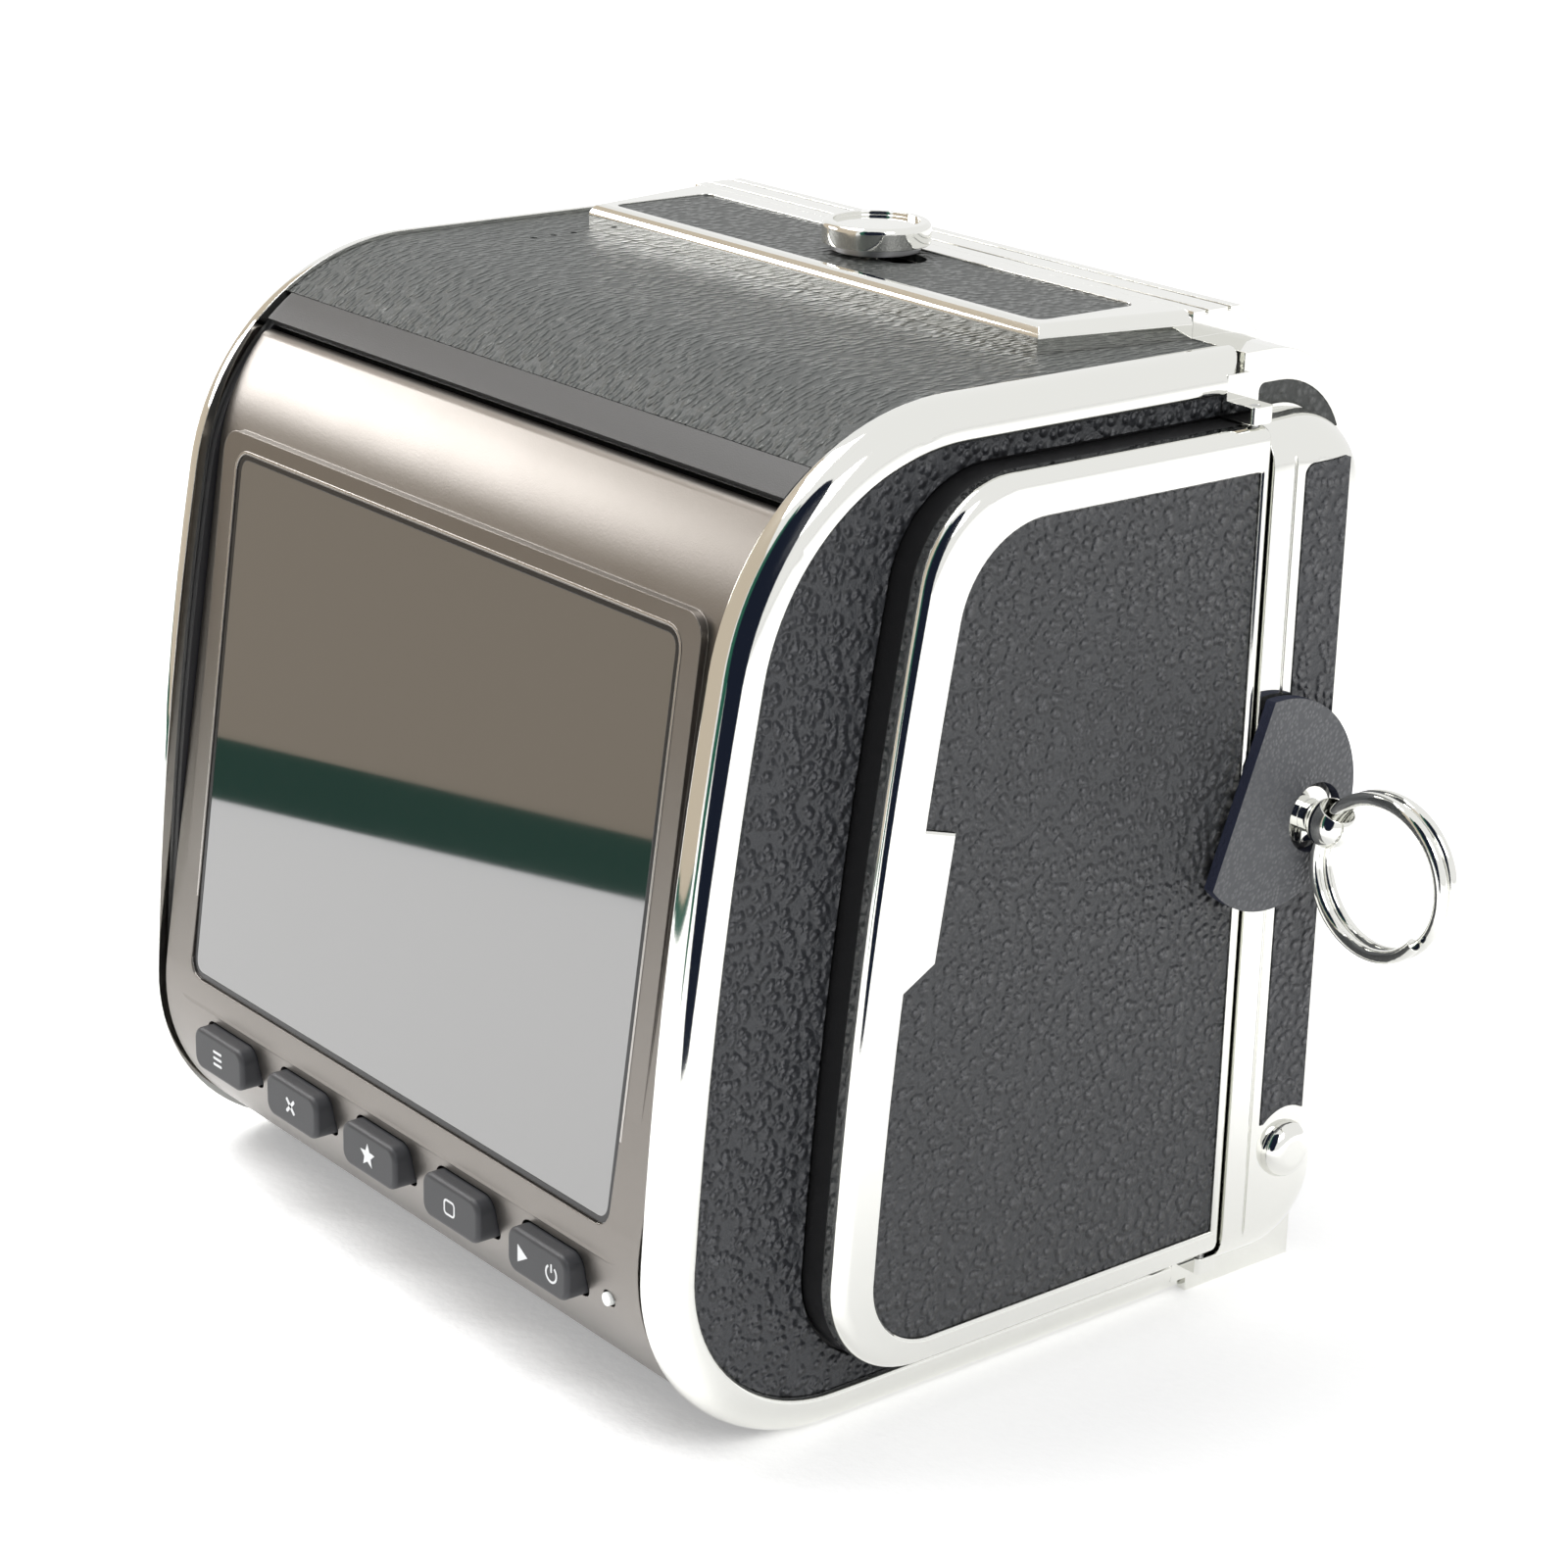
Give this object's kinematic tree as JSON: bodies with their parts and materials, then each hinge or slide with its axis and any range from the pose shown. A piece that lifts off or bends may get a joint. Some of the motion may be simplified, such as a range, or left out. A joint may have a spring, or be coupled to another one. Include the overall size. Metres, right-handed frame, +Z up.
{
  "type": "medium format digital camera",
  "caption": "Boxy camera body with a tilting rear screen, side doors, sliding top catch, strap rings, front controls and an open bayonet lens mount over its sensor.",
  "frame": {"origin": "mouth of the tripod thread, on the base plane", "axes": "+X towards the card door's side, +Y towards the subject, +Z up; the screen faces -Y"},
  "size_m": [0.1254, 0.08, 0.093],
  "materials": {
    "black_plastic": "matte black moulding",
    "coarse_leather": "coarse pebbled black leather",
    "fine_leather": "fine grained black leather",
    "guard_leather": "soft leather with a raw dark edge",
    "chrome": "bright satin chrome",
    "gunmetal": "fine gunmetal paint",
    "steel": "plain steel",
    "key_rubber": "soft black rubber with pale icons",
    "screen_glass": "dark clear cover glass",
    "sensor_glass": "clear filter glass",
    "display": "dark display",
    "light": "pale light pipe",
    "battery_grey": "dark grey shell",
    "board_green": "green board with dark chips",
    "sensor": "sensor surface",
    "black_metal": "black metal"
  },
  "bodies": {
    "camera_body": {"back_housing": "black_plastic", "hinge_strip": "black_plastic", "top_leather": "fine_leather", "side_plate_right": "black_plastic", "side_plate_left": "black_plastic", "side_leather_right": "coarse_leather", "side_leather_left": "coarse_leather", "side_trim_right": "chrome", "side_trim_left": "chrome", "hinge_pins": "steel", "door_pins": "steel", "battery": "battery_grey", "battery_bay": "black_plastic", "card_cage": "black_plastic", "memory_cards": "black_plastic", "data_port": "steel", "main_board": "board_green", "sensor_frame": "black_metal", "image_sensor": "sensor", "sensor_glass": "sensor_glass", "top_plate": "chrome", "top_inset": "fine_leather", "front_frame": "chrome", "cheek_leathers": "coarse_leather", "shoulder_leathers": "fine_leather", "dome_studs": "chrome", "strap_lug_right": "chrome", "strap_lug_left": "chrome", "ring_guard_right": "guard_leather", "ring_guard_left": "guard_leather", "front_leather": "coarse_leather", "lens_mount": "chrome", "mount_screws": "steel", "contact_block": "black_metal", "tripod_bush": "steel"},
    "screen": {"screen_shell": "gunmetal", "screen_cover": "black_plastic", "screen_glass": "screen_glass", "display_panel": "display", "key_board": "black_plastic", "status_light": "light"},
    "menu_key": {"menu_key": "key_rubber"},
    "cross_key": {"cross_key": "key_rubber"},
    "star_key": {"star_key": "key_rubber"},
    "square_key": {"square_key": "key_rubber"},
    "play_key": {"play_key": "key_rubber"},
    "release_knob": {"release_knob": "chrome", "knob_collar": "steel", "release_hook": "steel"},
    "card_door": {"card_door_shell": "black_plastic", "card_door_frame": "chrome", "card_door_leather": "fine_leather"},
    "battery_door": {"battery_door_shell": "black_plastic", "battery_door_frame": "chrome", "battery_door_leather": "fine_leather"},
    "shutter_button": {"shutter_button": "chrome"},
    "lens_release": {"lens_release": "chrome"},
    "scroll_wheel": {"scroll_wheel": "chrome"},
    "ring_right": {"split_ring_right": "chrome"},
    "ring_left": {"split_ring_left": "chrome"}
  },
  "joints": [
    {"name": "screen_tilt", "type": "hinge", "parent": "camera_body", "child": "screen", "pos_m": [0, -0.0535, 0.0794], "axis": [-1, 0, 0], "range_deg": [0, 90]},
    {"name": "menu_press", "type": "slide", "parent": "screen", "child": "menu_key", "axis": [0, 1, 0], "range_m": [0, 0.0008], "stiffness_N_per_m": 800},
    {"name": "cross_press", "type": "slide", "parent": "screen", "child": "cross_key", "axis": [0, 1, 0], "range_m": [0, 0.0008], "stiffness_N_per_m": 800},
    {"name": "star_press", "type": "slide", "parent": "screen", "child": "star_key", "axis": [0, 1, 0], "range_m": [0, 0.0008], "stiffness_N_per_m": 800},
    {"name": "square_press", "type": "slide", "parent": "screen", "child": "square_key", "axis": [0, 1, 0], "range_m": [0, 0.0008], "stiffness_N_per_m": 800},
    {"name": "play_press", "type": "slide", "parent": "screen", "child": "play_key", "axis": [0, 1, 0], "range_m": [0, 0.0008], "stiffness_N_per_m": 800},
    {"name": "knob_slide", "type": "slide", "parent": "camera_body", "child": "release_knob", "axis": [1, 0, 0], "range_m": [0, 0.004], "stiffness_N_per_m": 400},
    {"name": "card_door_swing", "type": "hinge", "parent": "camera_body", "child": "card_door", "pos_m": [0.0443, -0.00805, 0.044], "axis": [0, 0, 1], "range_deg": [0, 80], "deforming": ["ring_guard_right"]},
    {"name": "battery_door_swing", "type": "hinge", "parent": "camera_body", "child": "battery_door", "pos_m": [-0.0443, -0.00805, 0.044], "axis": [0, 0, -1], "range_deg": [0, 80], "deforming": ["ring_guard_left"]},
    {"name": "shutter_press", "type": "slide", "parent": "camera_body", "child": "shutter_button", "axis": [0, -1, 0], "range_m": [0, 0.0006], "stiffness_N_per_m": 800},
    {"name": "lens_release_press", "type": "slide", "parent": "camera_body", "child": "lens_release", "axis": [0, -1, 0], "range_m": [0, 0.0008], "stiffness_N_per_m": 800},
    {"name": "scroll_spin", "type": "hinge", "parent": "camera_body", "child": "scroll_wheel", "pos_m": [0.033, 0.0075, 0.0126], "axis": [0, 1, 0], "continuous": true},
    {"name": "ring_right_swing", "type": "hinge", "parent": "camera_body", "child": "ring_right", "pos_m": [0.04895, 0, 0.0467], "axis": [0.4352, 0, 0.9003], "range_deg": [-30, 30]},
    {"name": "ring_left_swing", "type": "hinge", "parent": "camera_body", "child": "ring_left", "pos_m": [-0.04895, 0, 0.0467], "axis": [-0.4352, 0, 0.9003], "range_deg": [-30, 30]}
  ]
}
